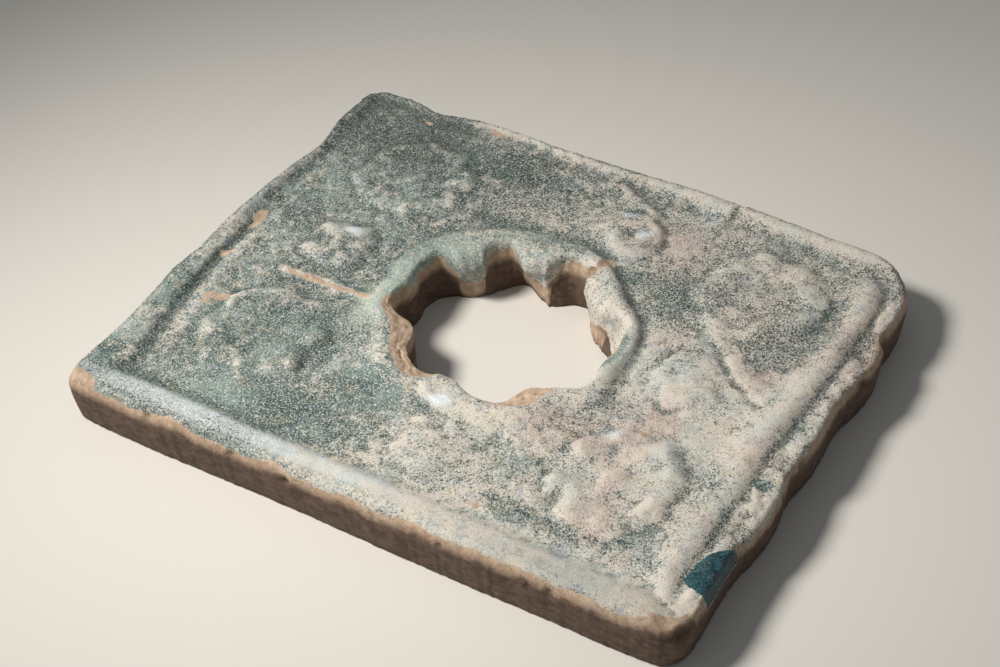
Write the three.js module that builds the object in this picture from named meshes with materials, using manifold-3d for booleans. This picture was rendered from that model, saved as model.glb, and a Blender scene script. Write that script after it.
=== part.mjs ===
// Glazed ceramic tile: a thick slab with raised borders, an eight-lobed opening inside a raised ring,
// a rosette medallion near each corner, and a boss between each two medallions.
// Millimetres. X runs along the length, Y across the width from front to back, Z up.
// The origin is on the underside, below the middle of the tile's outer box.
import * as THREE from "three";
import { mergeVertices } from "three/addons/utils/BufferGeometryUtils.js";
import Module from "manifold-3d";

// Slab
const tileLength = 411;
const tileWidth = 334;
const crestHeight = 35; // underside to the crest of the borders and of the ring
const fieldHeight = 30.5; // underside to the sunken field
const bulgeHeight = 22; // the sides stand out furthest here
const footDrawIn = 4; // the sides draw in by this much down to the underside
const footRounding = 1.8;
const cornerRadius = 15;
const wornCornerRadius = 40; // the back right corner

// Opening and the raised ring round it
const openingRadius = 73; // centre to the deepest lobe
const ringWidth = 13; // from the deepest lobe out to the foot of the ring
const rimRounding = 8; // the ring rolls over into the opening
const openingOffset = new THREE.Vector2(0, -1); // the potter set it a little off the middle

// Medallions and bosses, raised from the field
const medallionRadius = 41;
const medallionRelief = 3.4;
const medallionPetals = 8;
const medallionFromEnd = 83; // centre to the nearest end of the tile
const medallionFromSide = 78; // centre to the front or back edge
const bossRadius = 23;
const bossRelief = 3;
const backBossFromEdge = 59;
const leftBossFromEdge = 76;
const rightBossFromEdge = 88;
const frontBossFromEdge = 56;
const ribbonWidth = 9;
const ribbonRelief = 1.7;
const rootDepth = 4; // each raised form is rooted this deep in the slab

// Fineness of the mesh
const outlineSteps = 156;
const openingSteps = 84;
const petalSteps = 6;
const bossSteps = 20;

const reliefDepth = crestHeight - fieldHeight;
const half = new THREE.Vector2(tileLength / 2, tileWidth / 2);

// Wear of the edges: a share of the way along the side from its middle, left to right or front to
// back, and how many mm the edge has lost there. The back right corner is worn most.
const frontWear = [[-1, 1], [-0.8, 0], [-0.2, 1], [0.2, 0], [0.59, 0.5], [0.9, 1.2], [1, 3]];
const backWear = [[-1, 2], [-0.92, 1.5], [-0.83, 1], [-0.74, 5], [-0.59, 1], [-0.22, 2.5], [0.03, 0.5],
  [0.38, 0], [0.71, 4], [1, 6]];
const leftWear = [[-1, 1.5], [-0.92, 3], [-0.84, 3.5], [-0.73, 4], [-0.51, 2.5], [-0.31, 0], [-0.19, 1.5],
  [-0.06, 0], [0.07, 0], [0.41, 2.5], [0.58, 5.5], [0.74, 1], [0.9, 2], [1, 2]];
const rightWear = [[-1, 3], [-0.88, 1.5], [-0.75, 2.5], [-0.57, 3.5], [-0.39, 0], [-0.3, 0.5], [-0.19, 3.5],
  [0, 1.5], [0.24, 3.5], [0.36, 0], [0.52, 0.5], [0.59, 4], [0.69, 3.5], [0.785, 5], [1, 6]];

// Border sections from the arris inwards: mm in from the edge, and height as a share of the relief,
// where 0 is the field and 1 is the crest. The right border has a low outer strip and a ridge inside it.
const frontBorder = [[1.5, 0.1], [4, 0.7], [8, 1], [16, 1], [21, 0.75], [25, 0.1], [31, 0]];
const rightBorder = [[1, -0.4], [5, 0.15], [15, 0.2], [20, 0.84], [26, 1], [34, 0.45], [44, 0]];
const backBorder = [[0.6, 0], [2.2, 0.6], [6, 0.95], [11, 0.85], [14.5, 0.5], [18, 0.1], [25, 0]];
const leftBorder = [[0.6, 0], [2.2, 0.6], [6, 1], [14, 0.85], [18, 0.35], [22, 0.1], [34, 0]];

// Lobes of the opening, counter-clockwise: the lobe's direction in degrees and its reach, then the
// direction and the distance of the cusp after it, both distances as shares of openingRadius.
const lobes = [[-66, 0.885, -45, 0.735], [-22, 0.965, -9, 0.89], [18, 1, 46, 0.76], [70, 0.966, 91, 0.762],
  [112, 0.973, 136, 0.822], [157, 0.986, 177, 0.87], [193, 0.955, 215, 0.69], [241, 0.84, 264, 0.7]];
const lobeFullness = 2.2; // 2 is an ellipse, more is squarer
const cuspSharpness = 0.7; // 0.5 is an ellipse's end, 1 is a straight-sided point

const wasm = await Module();
wasm.setup();

function solidFrom(geometry) {
  const bare = geometry.clone();
  bare.deleteAttribute("normal");
  bare.deleteAttribute("uv");
  const merged = mergeVertices(bare, 1e-4);
  const vertProperties = merged.attributes.position.array;
  const triVerts = new Uint32Array(merged.index.array);
  return new wasm.Manifold(new wasm.Mesh({ numProp: 3, vertProperties, triVerts }));
}

function geometryFrom(solid) {
  const { vertProperties, triVerts } = solid.getMesh();
  const geometry = new THREE.BufferGeometry();
  geometry.setAttribute("position", new THREE.BufferAttribute(vertProperties, 3));
  geometry.setIndex(new THREE.BufferAttribute(triVerts, 1));
  geometry.computeVertexNormals();
  return geometry;
}

// A closed body through rings of points, each ring counter-clockwise seen from above.
// The first ring is the lowest, and both end rings are closed with a fan to their middle.
function loft(rings) {
  const count = rings[0].length;
  const middle = (ring) => ring.reduce((sum, p) => sum.add(p), new THREE.Vector3()).divideScalar(count);
  const points = [...rings.flat(), middle(rings[0]), middle(rings.at(-1))];
  const lowMiddle = points.length - 2;
  const highMiddle = points.length - 1;
  const lastRing = (rings.length - 1) * count;
  const index = [];
  for (let i = 0; i < count; i++) {
    const next = (i + 1) % count;
    index.push(lowMiddle, next, i, highMiddle, lastRing + i, lastRing + next);
    for (let low = 0; low < lastRing; low += count) {
      const high = low + count;
      index.push(low + i, low + next, high + next, low + i, high + next, high + i);
    }
  }
  const geometry = new THREE.BufferGeometry().setFromPoints(points);
  geometry.setIndex(index);
  return solidFrom(geometry);
}

// A mound on the field: rows of [share of the outline's radius, share of its relief], outside first.
function mound(centre, steps, outlineAt, rows, heightAt) {
  const ring = (share, height) =>
    Array.from({ length: steps }, (_, i) => {
      const angle = (2 * Math.PI * i) / steps;
      const reach = outlineAt(angle) * share;
      const z = fieldHeight + heightAt(angle, share, height);
      return new THREE.Vector3(centre.x + reach * Math.cos(angle), centre.y + reach * Math.sin(angle), z);
    });
  const root = ring(1, 0).map((p) => p.setZ(fieldHeight - rootDepth));
  return loft([root, ...rows.map(([share, height]) => ring(share, height))]);
}

// How much an edge has lost at a share of the way along it.
function wearAt(wear, share) {
  const after = wear.findIndex(([at]) => at >= share);
  if (after < 1) return wear.at(after)[1];
  const [startAt, start] = wear[after - 1];
  const [endAt, end] = wear[after];
  return THREE.MathUtils.lerp(start, end, THREE.MathUtils.smoothstep(share, startAt, endAt));
}

// The plan as its maker drew it, straight-sided with round corners, and at each point the inward
// direction and the wear. The whole is fitted so that the worn outline fills the tile's outer box.
function outlinePoints() {
  const shape = new THREE.Shape();
  const quarter = Math.PI / 2;
  const corner = (sideX, sideY, radius, from) =>
    shape.absarc(sideX * (half.x - radius), sideY * (half.y - radius), radius, from, from + quarter);
  shape.moveTo(cornerRadius - half.x, -half.y);
  shape.lineTo(half.x - cornerRadius, -half.y);
  corner(1, -1, cornerRadius, -quarter);
  corner(1, 1, wornCornerRadius, 0);
  corner(-1, 1, cornerRadius, quarter);
  corner(-1, -1, cornerRadius, 2 * quarter);
  const points = shape.getSpacedPoints(outlineSteps).slice(0, -1);
  const outline = points.map((p, i) => {
    const ahead = points[(i + 1) % points.length];
    const along = ahead.clone().sub(points.at(i - 1)).normalize();
    const nearEnd = half.x - Math.abs(p.x) < half.y - Math.abs(p.y);
    const sideWear = p.y < 0 ? frontWear : backWear;
    const endWear = p.x < 0 ? leftWear : rightWear;
    const lost = nearEnd ? wearAt(endWear, p.y / half.y) : wearAt(sideWear, p.x / half.x);
    return { clean: p, inward: new THREE.Vector2(-along.y, along.x), lost };
  });
  const worn = outline.map(({ clean, inward, lost }) => inward.clone().multiplyScalar(lost).add(clean));
  const box = new THREE.Box2().setFromPoints(worn);
  const centre = box.getCenter(new THREE.Vector2());
  const fit = new THREE.Vector2(tileLength, tileWidth).divide(box.getSize(new THREE.Vector2()));
  for (const point of outline) point.clean.sub(centre).multiply(fit);
  return outline;
}

// The slab with its borders. The wear fades out over the border, so the inner lines stay straight,
// and near a corner the sections of the two sides blend into each other.
function slab() {
  const outline = outlinePoints();
  const mitre = 12;
  const wearReach = 18;
  const drawnIn = ({ clean, inward, lost }, insetX, insetY, z) => {
    const fade = THREE.MathUtils.smoothstep(Math.max(insetX, insetY), footDrawIn, wearReach);
    const p = inward.clone().multiplyScalar(lost * (1 - fade)).add(clean);
    return new THREE.Vector3(p.x * (1 - insetX / half.x), p.y * (1 - insetY / half.y), z);
  };
  const borderRing = (_, line) =>
    outline.map((point) => {
      const { x, y } = point.clean;
      const [insetX, shareX] = (x < 0 ? leftBorder : rightBorder)[line];
      const [insetY, shareY] = (y < 0 ? frontBorder : backBorder)[line];
      const nearEnd = half.y - Math.abs(y) - (half.x - Math.abs(x));
      const endShare = THREE.MathUtils.smoothstep(nearEnd, -mitre, mitre);
      const share = THREE.MathUtils.lerp(shareY, shareX, endShare);
      return drawnIn(point, insetX, insetY, fieldHeight + share * reliefDepth);
    });
  const foot = outline.map((p) => drawnIn(p, footDrawIn, footDrawIn, 0));
  const footEdge = footDrawIn - footRounding;
  const aboveFoot = outline.map((p) => drawnIn(p, footEdge, footEdge, footRounding));
  const bulge = outline.map((p) => drawnIn(p, 0, 0, bulgeHeight));
  return loft([foot, aboveFoot, bulge, ...frontBorder.map(borderRing)]);
}

// Distance from the opening's centre to its wall in a direction.
function openingReach(angle) {
  const first = lobes.at(-1)[2] - 360;
  const degrees = THREE.MathUtils.euclideanModulo(THREE.MathUtils.radToDeg(angle) - first, 360) + first;
  const place = lobes.findIndex(([, , cuspAt]) => degrees <= cuspAt);
  const [lobeAt, lobeReach, nextAt, nextReach] = lobes[place];
  const [, , lastAt, lastReach] = place > 0 ? lobes[place - 1] : [0, 0, first, lobes.at(-1)[3]];
  const [cuspAt, cuspReach] = degrees < lobeAt ? [lastAt, lastReach] : [nextAt, nextReach];
  const fromLobe = Math.abs((degrees - lobeAt) / (cuspAt - lobeAt));
  const rise = (1 - Math.min(1, fromLobe) ** lobeFullness) ** cuspSharpness;
  return openingRadius * (cuspReach + (lobeReach - cuspReach) * rise);
}

// The ring's foot follows the lobes only faintly.
function ringReach(angle) {
  const follow = 0.45;
  return ringWidth + openingRadius * (1 - follow) + openingReach(angle) * follow;
}

function ring() {
  const rows = [[1, 0], [0.97, 0.3], [0.93, 0.72], [0.88, 1], [0.8, 1], [0.66, 0.9]];
  return mound(openingOffset, openingSteps, ringReach, rows, (angle, share, height) => height * reliefDepth);
}

// What is cut away for the opening: upright walls, flaring over the rim like a quarter round.
function openingCut() {
  const below = -5;
  const steps = [0, 0.3, 0.6, 0.85, 1];
  const wall = (z, flare) =>
    Array.from({ length: openingSteps }, (_, i) => {
      const angle = (2 * Math.PI * i) / openingSteps;
      const reach = openingReach(angle) + flare;
      const x = openingOffset.x + reach * Math.cos(angle);
      return new THREE.Vector3(x, openingOffset.y + reach * Math.sin(angle), z);
    });
  const flared = steps.map((rise) => {
    const flare = rimRounding * (1 - Math.sqrt(1 - rise * rise));
    return wall(crestHeight - rimRounding * (1 - rise), flare);
  });
  return loft([wall(below, 0), ...flared, wall(crestHeight + rimRounding, rimRounding)]);
}

// A rosette: round petals in a ring, a lower mottled middle, and a scalloped edge.
function medallion(centre, turn) {
  const rows = [[1, -0.2], [0.93, 0.7], [0.82, 1], [0.68, 0.92], [0.52, 0.5], [0.3, 0.36]];
  const petal = (angle) => Math.abs(Math.cos((medallionPetals * (angle - turn)) / 2));
  const outlineAt = (angle) => medallionRadius * (0.92 + 0.08 * petal(angle));
  const heightAt = (angle, share, height) => {
    const gap = THREE.MathUtils.smoothstep(share, 0.4, 0.8) * (1 - petal(angle));
    return medallionRelief * height * (1 - 0.62 * gap);
  };
  return mound(centre, medallionPetals * petalSteps, outlineAt, rows, heightAt);
}

// A low rounded boss. A squareness over 1 draws its outline in towards a lozenge.
function boss(centre, lengthen, squareness, relief) {
  const rows = [[1, -0.15], [0.86, 0.62], [0.62, 1], [0.32, 0.86]];
  const outlineAt = (angle) => {
    const across = Math.abs(Math.cos(angle)) ** (2 / squareness);
    const along = Math.abs(Math.sin(angle) / lengthen) ** (2 / squareness);
    return bossRadius * (across + along) ** (-squareness / 2);
  };
  return mound(centre, bossSteps, outlineAt, rows, (angle, share, height) => relief * height);
}

// A rounded ribbon of clay along a curve whose points are shares of a size round a centre.
function ribbon(centre, size, points) {
  const sides = 8;
  const path = new THREE.CatmullRomCurve3(
    points.map(([x, y]) => new THREE.Vector3(centre.x + x * size, centre.y + y * size, fieldHeight)),
  );
  const section = new THREE.Shape(
    Array.from({ length: sides }, (_, i) => {
      const angle = (2 * Math.PI * i) / sides;
      return new THREE.Vector2(ribbonRelief * Math.cos(angle), (ribbonWidth / 2) * Math.sin(angle));
    }),
  );
  const steps = 3 * points.length;
  return solidFrom(new THREE.ExtrudeGeometry(section, { extrudePath: path, steps }));
}

// A hollow left by a chip or a dimple: a rough ball pressed flat, centred on the given point.
function hollow(x, y, z, across, along, deep) {
  const ball = new THREE.IcosahedronGeometry(1, 1);
  ball.scale(across, along, deep);
  ball.translate(x, y, z);
  return solidFrom(ball);
}

// Places on the tile
const backRightMedallion = new THREE.Vector2(half.x - medallionFromEnd, half.y - medallionFromSide + 4);
const frontRightMedallion = new THREE.Vector2(half.x - medallionFromEnd - 1, medallionFromSide - half.y + 4);
const frontLeftMedallion = new THREE.Vector2(medallionFromEnd - half.x, medallionFromSide - half.y + 12);
const backLeftMedallion = new THREE.Vector2(medallionFromEnd - half.x - 1, half.y - medallionFromSide + 3);
const backBoss = new THREE.Vector2(23, half.y - backBossFromEdge);
const leftBoss = new THREE.Vector2(leftBossFromEdge - half.x, 14);
const rightBoss = new THREE.Vector2(half.x - rightBossFromEdge, 9);
const frontBoss = new THREE.Vector2(18, frontBossFromEdge - half.y);

const raised = [
  ring(),
  medallion(backRightMedallion, 0.38),
  medallion(frontRightMedallion, 0.45),
  medallion(frontLeftMedallion, 0.3),
  medallion(backLeftMedallion, 0.36),
  boss(backBoss, 1, 1, bossRelief),
  boss(leftBoss, 1, 1, bossRelief),
  boss(rightBoss, 1.18, 1.5, bossRelief),
  boss(frontBoss, 0.8, 1, bossRelief / 2),
  ribbon(backBoss, bossRadius, [[-1.45, 1.75], [-0.55, 1.3], [0.35, 1.1], [0.98, 0.55]]),
  ribbon(backRightMedallion, medallionRadius, [[-0.85, -0.9], [-0.3, -1.1], [0.2, -1.55], [0.95, -2]]),
  ribbon(frontLeftMedallion, medallionRadius, [[-0.55, 1.3], [0, 1.38], [0.5, 1.3], [0.95, 1.36]]),
];
const hollows = [
  openingCut(),
  hollow(frontRightMedallion.x - 23, frontRightMedallion.y - 24, fieldHeight + medallionRelief, 6, 8, 3.6),
  hollow(frontBoss.x + 26, frontBoss.y + 24, fieldHeight + 0.5, 6, 9, 2.2),
  hollow(half.x - 3, half.y * 0.585, bulgeHeight + 4, 5, 6, 8),
  hollow(half.x - 2, half.y * -0.17, bulgeHeight + 3, 4, 8, 7),
  hollow(half.x - 9, 8 - half.y, crestHeight + 1, 14, 10, 6),
  hollow(27, openingOffset.y + openingRadius + 4, crestHeight + 1, 4, 7, 4),
];

let clay = slab();
for (const form of raised) clay = clay.add(form);
for (const form of hollows) clay = clay.subtract(form);

const glaze = new THREE.MeshStandardMaterial({ color: 0xa3b5a8, roughness: 0.45, metalness: 0 });
const tile = new THREE.Mesh(geometryFrom(clay), glaze);
tile.name = "tile";

const part = new THREE.Group();
part.add(tile);

export default part;
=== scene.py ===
# %% [markdown]
# # A weathered glazed tile with a lobed opening
#
# The real object is one slab of fired clay. Its maker pressed a low relief into it: borders, a ring
# round an eight-lobed opening, four rosette medallions and four bosses. Then it was glazed, and
# centuries in the ground have roughened the glaze, left pale crusts on it and chipped its edges.
# The slab is loaded first as a plain solid, and this file makes the surface that the eye sees.

# %% Load the plain solid
import math

import bpy
import numpy as np
from mathutils import Matrix, Vector, geometry


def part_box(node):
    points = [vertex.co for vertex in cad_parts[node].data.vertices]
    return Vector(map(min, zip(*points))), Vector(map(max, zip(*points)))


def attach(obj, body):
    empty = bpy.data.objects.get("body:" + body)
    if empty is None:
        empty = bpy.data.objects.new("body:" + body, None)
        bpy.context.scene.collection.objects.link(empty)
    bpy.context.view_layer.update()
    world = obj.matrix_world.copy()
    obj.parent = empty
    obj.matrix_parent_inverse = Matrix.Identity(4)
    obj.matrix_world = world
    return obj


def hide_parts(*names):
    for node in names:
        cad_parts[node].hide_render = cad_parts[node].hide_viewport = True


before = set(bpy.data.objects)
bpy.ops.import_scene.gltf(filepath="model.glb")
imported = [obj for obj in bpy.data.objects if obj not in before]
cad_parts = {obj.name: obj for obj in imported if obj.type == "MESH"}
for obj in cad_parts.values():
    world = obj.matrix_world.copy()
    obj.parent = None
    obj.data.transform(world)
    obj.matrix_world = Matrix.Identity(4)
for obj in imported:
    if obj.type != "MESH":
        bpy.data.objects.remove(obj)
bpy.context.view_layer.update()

MM = 0.001
low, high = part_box("tile")
half_x = (high[0] - low[0]) / 2 / MM
half_y = (high[1] - low[1]) / 2 / MM
thickness = high[2] / MM
print(f"tile {2 * half_x:.0f} x {2 * half_y:.0f} x {thickness:.0f} mm")

# %% [markdown]
# The camera comes next, so that each form can be judged as soon as it is there. It looks down on the
# tile from beyond its front right corner, through a short telephoto lens, with a slight tilt.

# %% Camera
TURN, TILT_DOWN, ROLL = (math.radians(angle) for angle in (33.28, 41.72, -3.05))
DISTANCE, LENS = 1305.7 * MM, 77.15
LOOK_AT = Vector((-16.3, 19.65, 0)) * MM

right = Vector((math.cos(TURN), math.sin(TURN), 0))
level_back = Vector((math.sin(TURN), -math.cos(TURN), 0))
back = math.cos(TILT_DOWN) * level_back + Vector((0, 0, math.sin(TILT_DOWN)))
up = back.cross(right)
across = math.cos(ROLL) * right + math.sin(ROLL) * up
upward = math.cos(ROLL) * up - math.sin(ROLL) * right
camera = bpy.data.objects.new("camera", bpy.data.cameras.new("camera"))
camera.data.lens = LENS
facing = Matrix((across, upward, back)).transposed().to_4x4()
camera.matrix_world = Matrix.Translation(LOOK_AT + DISTANCE * back) @ facing
bpy.context.scene.collection.objects.link(camera)
bpy.context.scene.camera = camera
print("camera stands", [round(value, 3) for value in camera.location])

# %% [markdown]
# Low relief only shows under light from one side. One soft lamp stands high beyond the left end of
# the tile, and a dim even sky fills the shadows. The lamp's beam is narrow and its middle lies front
# and right of the tile's, so the light falls off towards the back left. The floor is plain and pale.


# %% Floor and light
def linear(code):
    """An sRGB hex colour as the linear numbers that a shader takes."""
    parts = [int(code[i:i + 2], 16) / 255 for i in (1, 3, 5)]
    return [c / 12.92 if c <= 0.04045 else ((c + 0.055) / 1.055) ** 2.4 for c in parts] + [1]


floor_mesh = bpy.data.meshes.new("floor")
floor_mesh.from_pydata([(-6, -6, 0), (6, -6, 0), (6, 6, 0), (-6, 6, 0)], [], [(0, 1, 2, 3)])
floor = bpy.data.objects.new("floor", floor_mesh)
floor_paint = bpy.data.materials.new("pale_floor_paint")
floor_paint.use_nodes = True
floor_shader = floor_paint.node_tree.nodes["Principled BSDF"]
floor_shader.inputs["Base Color"].default_value = linear("#d6d2ca")
floor_shader.inputs["Roughness"].default_value = 0.8
floor_mesh.materials.append(floor_paint)
bpy.context.scene.collection.objects.link(floor)

KEY_FROM = Vector((-0.72, -0.36, 0.9)).normalized()
key = bpy.data.objects.new("key", bpy.data.lights.new("key", "AREA"))
key.data.shape = "DISK"
key.data.size = 0.42
key.data.energy = 2.75
key.data.color = (1.0, 0.965, 0.92)
key.data.spread = math.radians(50)
key.location = 1.6 * KEY_FROM + Vector((70, -60, 0)) * MM
key.rotation_mode = "QUATERNION"
key.rotation_quaternion = KEY_FROM.to_track_quat("Z", "Y")
bpy.context.scene.collection.objects.link(key)

sky = bpy.data.worlds.new("studio")
sky.use_nodes = True
sky.node_tree.nodes["Background"].inputs["Color"].default_value = linear("#e6ebf0")
sky.node_tree.nodes["Background"].inputs["Strength"].default_value = 0.22
bpy.context.scene.world = sky
bpy.context.scene.view_settings.view_transform = "Standard"
print("key light", key.data.energy, "W,", round(key.location.length, 2), "m away")

# %% [markdown]
# Hand work is uneven on every scale. Blender's own noise could give that, one vertex at a time, but
# numpy treats all vertices at once. Two helpers do most of the work: one draws a smooth line through
# a few measured points, and one gives smooth noise whose bumps have a real size.


# %% Smooth lines and smooth noise
def step(value, start, end):
    """Rises smoothly from 0 at start to 1 at end."""
    t = np.clip((value - start) / (end - start), 0, 1)
    return t * t * (3 - 2 * t)


def curve(points, at):
    """A smooth line through (place, value) points, level past both ends."""
    places, values = np.array(points, float).T
    slopes = np.gradient(values, places)
    slopes[[0, -1]] = 0
    at = np.clip(at, places[0], places[-1])
    i = np.clip(np.searchsorted(places, at) - 1, 0, len(places) - 2)
    span = places[i + 1] - places[i]
    t = (at - places[i]) / span
    ease = t * t * (3 - 2 * t)
    bend = span * (slopes[i] * t * (1 - t) ** 2 - slopes[i + 1] * t * t * (1 - t))
    return values[i] * (1 - ease) + values[i + 1] * ease + bend


def smooth_max(a, b, blend):
    """The higher of two surfaces, with a fillet where they cross."""
    return np.maximum(a, b) + np.maximum(blend - np.abs(a - b), 0) ** 2 / (4 * blend)


def noise(x, y, size, seed):
    """Smooth noise from -1 to 1, with bumps of about size millimetres."""
    cells = 256
    lattice = np.random.default_rng(seed).uniform(-1, 1, (cells, cells))
    u, v = x / size + cells / 2, y / size + cells / 2
    i, j = np.floor(u).astype(int), np.floor(v).astype(int)
    s, t = step(u - i, 0, 1), step(v - j, 0, 1)
    i0, i1, j0, j1 = i % cells, (i + 1) % cells, j % cells, (j + 1) % cells
    near = lattice[i0, j0] * (1 - s) + lattice[i1, j0] * s
    far = lattice[i0, j1] * (1 - s) + lattice[i1, j1] * s
    return near * (1 - t) + far * t


def rough(x, y, size, seed, layers=3):
    """Noise on several scales, each half the size and a bit over half the strength of the last."""
    return sum(0.55**k * noise(x, y, size / 2**k, seed + k) for k in range(layers))


sample = noise(np.arange(0, 600, 3.0), np.zeros(200), 30, 0)
print("noise with bumps of 30 mm runs from", round(sample.min(), 2), "to", round(sample.max(), 2))

# %% [markdown]
# The outline is a rectangle with round corners, as its maker cut it. Each side has lost a few
# millimetres here and there, and the back right corner most, so the wear is a line along each side:
# a share of the way along it, and the millimetres that are gone.

# %% Outline and wear
# Millimetres: how far the foot is drawn in, and the radius of three corners and of the worn fourth.
FOOT_DRAW_IN = 4
CORNER, WORN_CORNER = 15, 40
WEAR = {
    "front": [(-1, 1), (-0.8, 0), (-0.2, 1), (0.2, 0), (0.59, 0.5), (0.9, 1.2), (1, 3)],
    "back": [(-1, 2), (-0.92, 1.5), (-0.83, 1), (-0.74, 5), (-0.59, 1), (-0.22, 2.5), (0.03, 0.5),
             (0.38, 0), (0.71, 4), (1, 6)],
    "left": [(-1, 1.5), (-0.92, 3), (-0.84, 3.5), (-0.73, 4), (-0.51, 2.5), (-0.31, 0), (-0.19, 1.5),
             (-0.06, 0), (0.07, 0), (0.41, 2.5), (0.58, 5.5), (0.74, 1), (0.9, 2), (1, 2)],
    "right": [(-1, 3), (-0.88, 1.5), (-0.75, 2.5), (-0.57, 3.5), (-0.39, 0), (-0.3, 0.5), (-0.19, 3.5),
              (0, 1.5), (0.24, 3.5), (0.36, 0), (0.52, 0.5), (0.59, 4), (0.69, 3.5), (0.785, 5),
              (1, 6)],
}


def lost_at(x, y):
    """Millimetres that the nearest side has lost."""
    end = half_x - np.abs(x) < half_y - np.abs(y)
    ends = np.where(x < 0, curve(WEAR["left"], y / half_y), curve(WEAR["right"], y / half_y))
    sides = np.where(y < 0, curve(WEAR["front"], x / half_x), curve(WEAR["back"], x / half_x))
    return np.where(end, ends, sides)


print("the back right corner has lost", WEAR["back"][-1][1], "mm")


# %% Outline
OUTLINE_STEPS = 900
# Counter-clockwise from the front right corner: the side along x, the side along y, the radius.
corners = [(1, -1, CORNER), (1, 1, WORN_CORNER), (-1, 1, CORNER), (-1, -1, CORNER)]
drawn = []
for quarter, (side_x, side_y, radius) in enumerate(corners):
    for angle in np.radians(90 * (quarter - 1) + np.linspace(0, 90, 24)):
        drawn.append((side_x * (half_x - radius) + radius * math.cos(angle),
                      side_y * (half_y - radius) + radius * math.sin(angle)))
drawn = np.array(drawn + drawn[:1])
run = np.concatenate([[0], np.cumsum(np.hypot(*np.diff(drawn, axis=0).T))])
at = np.linspace(0, run[-1], OUTLINE_STEPS, endpoint=False)
clean = np.stack([np.interp(at, run, drawn[:, k]) for k in (0, 1)], 1)
ahead = np.roll(clean, -1, 0) - np.roll(clean, 1, 0)
ahead /= np.hypot(*ahead.T)[:, None]
inward = np.stack([-ahead[:, 1], ahead[:, 0]], 1)
lost = lost_at(*clean.T)
worn = clean + inward * lost[:, None]
fit = np.array([2 * half_x, 2 * half_y]) / np.ptp(worn, axis=0)
clean = (clean - (worn.max(0) + worn.min(0)) / 2) * fit
print("wear along the outline:", round(lost.min(), 1), "to", round(lost.max(), 1), "mm")

# %% [markdown]
# The opening has eight lobes with tongues of clay between them, cut and rounded by hand, so no two
# are alike. One lobe turned eight times would be far too even. So it is drawn from a table of places
# all the way round, with smooth lines through them.

# %% Opening
OPENING_Y = -1
# Degrees round the opening, then millimetres: reach at the underside, reach and height of the place
# where the wall meets the rolled rim, reach of the rim's crest, and height down to which the glaze
# ran. Last is the share of the rim that is broken away.
OPENING = [
    (5, 64, 68, 27, 74, 12, 0.1), (13, 65, 70, 26, 76.5, 6, 0), (20, 65, 71, 26, 77, 4, 0),
    (31, 62.5, 69, 25, 74.5, 9, 0), (36, 59.5, 63, 24, 73, 17, 0), (40, 58, 58.5, 24, 71.5, 18, 0),
    (46, 56, 57, 23, 70.5, 16, 0), (57, 57.5, 57, 23, 72, 14, 0), (63, 61.5, 58, 23, 74, 15, 0),
    (67, 65, 60, 24, 75, 18, 0), (70.5, 67.5, 65, 26, 75.5, 24, 0), (73.5, 68.3, 70, 28.5, 76, 29, 0),
    (78, 67, 71.5, 29, 76, 29, 0), (86, 60.5, 71, 29, 75.5, 29, 0), (88.5, 58, 69, 28, 74.5, 27, 0),
    (91, 56.5, 63.5, 25, 73, 20, 0), (93.5, 56.5, 58.5, 24, 72.5, 16, 0), (98, 59, 57, 24, 72, 15, 0),
    (104, 65, 56, 24, 72.5, 15, 0), (109, 71, 57.5, 24, 74, 17, 0), (112.5, 72, 63.5, 27, 75, 24, 0),
    (115.5, 70.7, 70, 29, 76, 29, 0), (122, 66.5, 71.5, 29, 76.5, 29, 0),
    (127, 64.5, 70.5, 28, 76.5, 28, 0), (130, 63.5, 67, 27, 76.5, 24, 0), (132, 63, 61.8, 24, 77, 17, 0),
    (135, 62.3, 60.3, 23, 77.3, 13, 0), (141, 63.5, 60.3, 23, 78.2, 13, 0),
    (146, 68, 61.8, 24, 79.5, 16, 0), (149, 70, 68, 27, 80.3, 25, 0),
    (151.5, 71.3, 73.5, 29, 80.5, 29, 0), (157, 72.4, 75.5, 29, 80.5, 29, 0),
    (165, 71.3, 74, 29, 79, 29, 0), (172, 67.5, 70, 28, 75.5, 28, 0), (178, 66, 68, 28, 72.5, 30, 0.1),
    (188, 69, 71, 30, 74, 33, 0.2), (198, 66, 67, 31, 74, 40, 0.6), (205, 57, 57, 30.5, 69, 40, 1),
    (212, 53, 53.5, 30.5, 66, 40, 1), (220, 53.5, 54.5, 30.5, 66.5, 40, 1), (230, 59, 60, 31, 69.5, 40, 1),
    (240, 61.5, 62, 31, 71, 40, 1), (250, 61, 61.5, 31, 72, 40, 1), (256, 56, 57, 29, 67, 38, 0.8),
    (263, 54, 55, 30, 62.5, 33, 0.2), (272, 55.5, 56.5, 31, 62, 32, 0.1),
    (280, 60.5, 61.5, 31, 67, 31, 0.1),
    (290, 64.5, 65.5, 30, 71, 31, 0.2), (298, 65.5, 66, 29, 73, 34, 0.6), (305, 62, 62.5, 30, 74, 40, 1),
    (315, 56, 56.5, 30, 72, 40, 1), (323, 58, 59, 30, 68, 38, 0.9), (331, 64, 65.5, 29, 71, 31, 0.3),
    (339, 70, 72.5, 30, 78, 30, 0.1), (346, 68, 70, 29, 75, 29, 0.1), (353, 65.5, 67.5, 28, 73, 26, 0.2),
]
AT, BASE, EDGE, EDGE_HEIGHT, CREST, GLAZE_END, BROKEN = range(7)


def round_opening(column, degrees):
    """One column of the table, for any direction, as a smooth closed line."""
    rows = [(row[AT], row[column]) for row in OPENING]
    before = [(place - 360, value) for place, value in rows[-3:]]
    after = [(place + 360, value) for place, value in rows[:3]]
    return curve(before + rows + after, degrees % 360)


def bearing(x, y):
    """The direction of each point from the opening's middle, in degrees."""
    return np.degrees(np.arctan2(y - OPENING_Y, x)) % 360


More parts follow.
